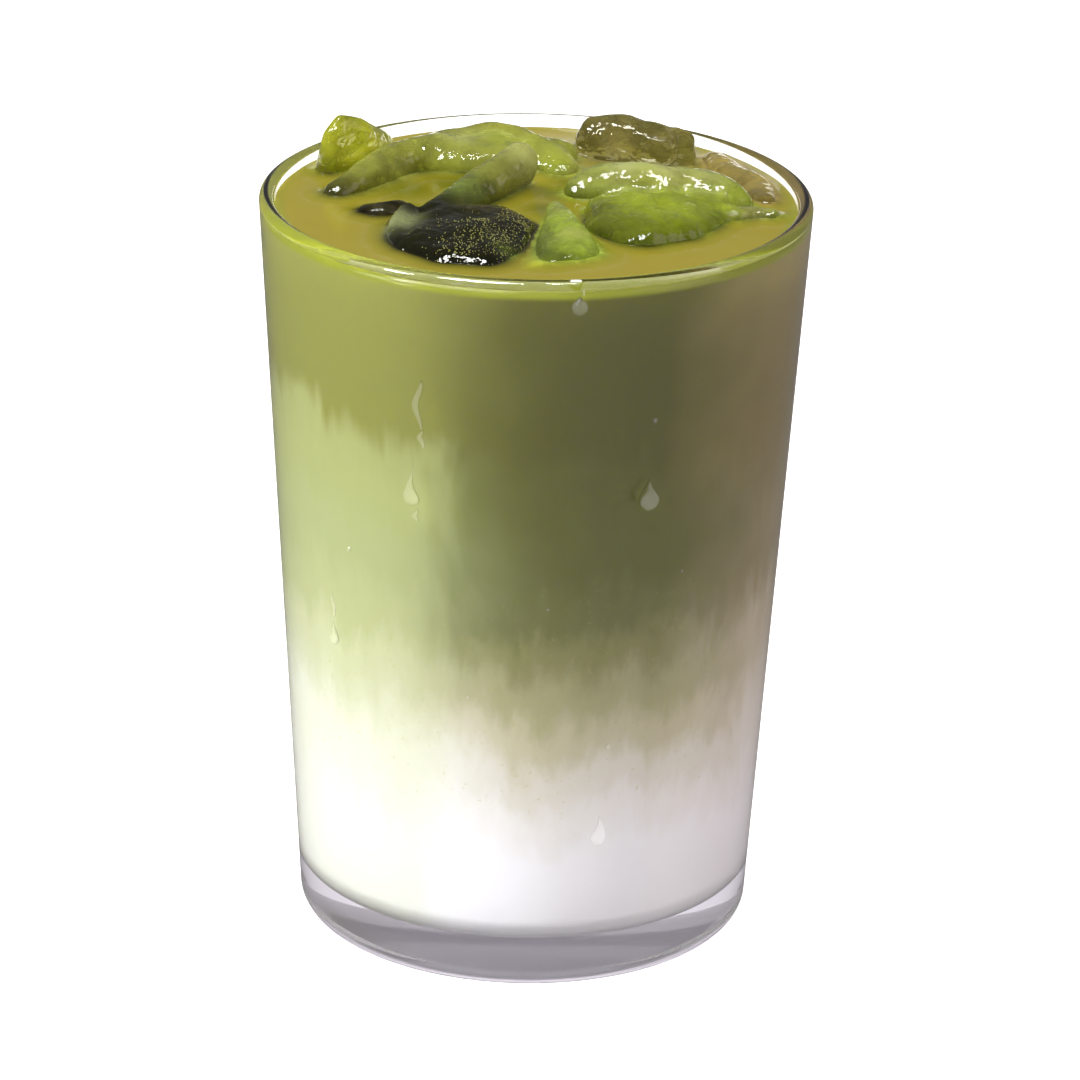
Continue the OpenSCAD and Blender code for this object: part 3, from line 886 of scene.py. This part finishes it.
drink = drink_piece()
tumbler = glass_piece()
show(drink, drink_material(), "matcha", "milk", "matcha")
show(tumbler, glass_material(), "clear_glass", "glass")
for look, (tint, skin_share, frost, names) in ICE_LOOKS.items():
    material = ice_material(look, tint, skin_share, frost)
    for name in names:
        show(ice_pieces[name], material, "ice", name)
show(water_drops(), water_material(), "clear_glass")
bubble_look = bubble_material()
show(bubbles(ice_pieces["ice_cup"], bubble_look), bubble_look, "ice")


# ---- Floor, light and camera ----

def floor():
    obj = mesh_object("floor", [(-3000, -3000, 0), (3000, -3000, 0), (3000, 3000, 0), (-3000, 3000, 0)],
                      [(0, 1, 2, 3)])
    s = Shader("pale_floor")
    body = s.add("ShaderNodeBsdfPrincipled", {
        "Base Color": (0.90, 0.90, 0.90, 1), "Roughness": 0.9, "Specular IOR Level": 0.1,
        "Emission Color": (1, 1, 1, 1), "Emission Strength": 0.52})
    mirrored = s.add("ShaderNodeEmission", {"Color": (0.20, 0.19, 0.19, 1)})
    path = s.add("ShaderNodeLightPath")
    through = s.math("SUBTRACT", 1.0, path.outputs["Is Transmission Ray"])
    in_mirror = s.math("MULTIPLY", path.outputs["Is Glossy Ray"], through)
    as_light = s.math("GREATER_THAN", path.outputs["Diffuse Depth"], 0.5)
    seen = s.add("ShaderNodeMixShader", {0: s.math("MAXIMUM", in_mirror, as_light)})
    s.tree.links.new(body.outputs[0], seen.inputs[1])
    s.tree.links.new(mirrored.outputs[0], seen.inputs[2])
    obj.data.materials.append(s.finish(seen.outputs[0]))


def lamp(name, azimuth, elevation, distance, size, power, colour, only_shine=False):
    """A square soft light, placed by the compass angle that it shines from (0 is the viewer's side).

    One that only shines shows as a highlight on wet and polished pieces, and lights nothing else.
    """
    data = bpy.data.lights.new(name, "AREA")
    data.shape = "SQUARE"
    data.size = size
    data.energy = power
    data.color = colour
    obj = bpy.data.objects.new(name, data)
    a, e = math.radians(azimuth), math.radians(elevation)
    aim = Vector((0, 0, GLASS_H / 2 * MM))
    place = aim + distance * Vector((math.sin(a) * math.cos(e), -math.cos(a) * math.cos(e), math.sin(e)))
    obj.location = place
    obj.rotation_euler = (aim - place).to_track_quat("-Z", "Y").to_euler()
    obj.visible_diffuse = not only_shine
    obj.visible_transmission = not only_shine
    bpy.context.scene.collection.objects.link(obj)


def surroundings():
    """A white room: even where it is seen, also through glass, dim in mirror images, uneven as a light."""
    world = bpy.data.worlds.new("white_room")
    bpy.context.scene.world = world
    world.use_nodes = True
    tree = world.node_tree
    tree.nodes.clear()
    out = tree.nodes.new("ShaderNodeOutputWorld")
    # the light is stronger from behind the glass and from its left
    soft = tree.nodes.new("ShaderNodeBackground")
    soft.inputs["Color"].default_value = (1.0, 0.97, 0.96, 1)
    way = tree.nodes.new("ShaderNodeTexCoord")
    lean = tree.nodes.new("ShaderNodeVectorMath")
    lean.operation = "DOT_PRODUCT"
    lean.inputs[1].default_value = (-0.45, 0.80, 0.40)
    strength = tree.nodes.new("ShaderNodeMapRange")
    for key, value in (("From Min", -0.6), ("From Max", 0.9), ("To Min", 0.75), ("To Max", 1.35)):
        strength.inputs[key].default_value = value
    tree.links.new(way.outputs["Generated"], lean.inputs[0])
    tree.links.new(lean.outputs["Value"], strength.inputs["Value"])
    tree.links.new(strength.outputs["Result"], soft.inputs["Strength"])
    seen = tree.nodes.new("ShaderNodeBackground")
    seen.inputs["Color"].default_value = (1.0, 0.98, 1.0, 1)
    seen.inputs["Strength"].default_value = 1.0
    mirrored = tree.nodes.new("ShaderNodeBackground")
    mirrored.inputs["Color"].default_value = (0.16, 0.155, 0.17, 1)
    path = tree.nodes.new("ShaderNodeLightPath")
    lights = tree.nodes.new("ShaderNodeMixShader")
    looks = tree.nodes.new("ShaderNodeMixShader")

    def worked_out(operation, a, b):
        node = tree.nodes.new("ShaderNodeMath")
        node.operation = operation
        for socket, value in zip(node.inputs, (a, b)):
            if isinstance(value, float):
                socket.default_value = value
            else:
                tree.links.new(value, socket)
        return node.outputs[0]

    # light that has already left a dull surface always meets the soft room
    first = worked_out("LESS_THAN", path.outputs["Diffuse Depth"], 0.5)
    direct = worked_out("MAXIMUM", path.outputs["Is Camera Ray"], path.outputs["Is Transmission Ray"])
    tree.links.new(worked_out("MULTIPLY", path.outputs["Is Glossy Ray"], first), lights.inputs[0])
    tree.links.new(soft.outputs[0], lights.inputs[1])
    tree.links.new(mirrored.outputs[0], lights.inputs[2])
    tree.links.new(worked_out("MULTIPLY", direct, first), looks.inputs[0])
    tree.links.new(lights.outputs[0], looks.inputs[1])
    tree.links.new(seen.outputs[0], looks.inputs[2])
    tree.links.new(looks.outputs[0], out.inputs[0])


def camera():
    """Looks along +Y from above, with a long lens and the small roll and shift of the framing."""
    distance, elevation, roll = 0.900, math.radians(21.51), math.radians(1.18)
    data = bpy.data.cameras.new("camera")
    data.sensor_width = 36
    data.lens = 189.07
    data.shift_x = 0.0101
    data.shift_y = 0.0112
    data.clip_end = 20
    obj = bpy.data.objects.new("camera", data)
    back = Vector((0, -math.cos(elevation), math.sin(elevation)))
    right = Vector((1, 0, 0))
    up = back.cross(right)
    c, s = math.cos(roll), math.sin(roll)
    axes = Matrix((c * right + s * up, c * up - s * right, back)).transposed()
    place = Vector((0, 0, GLASS_H / 2 * MM)) + back * distance
    obj.matrix_world = Matrix.Translation(place) @ axes.to_4x4()
    bpy.context.scene.collection.objects.link(obj)
    bpy.context.scene.camera = obj


floor()
surroundings()
lamp("key", -62, 38, 0.9, 0.16, 5.0, (1.0, 0.99, 0.97))
lamp("shine", -35, 62, 0.9, 0.32, 14.0, (1.0, 1.0, 1.0), only_shine=True)
lamp("glint", 25, 74, 0.9, 0.12, 3.0, (1.0, 1.0, 1.0), only_shine=True)
lamp("fill", 72, 30, 1.0, 0.6, 2.4, (1.0, 0.80, 0.76))
camera()
bpy.context.scene.view_settings.view_transform = "Standard"
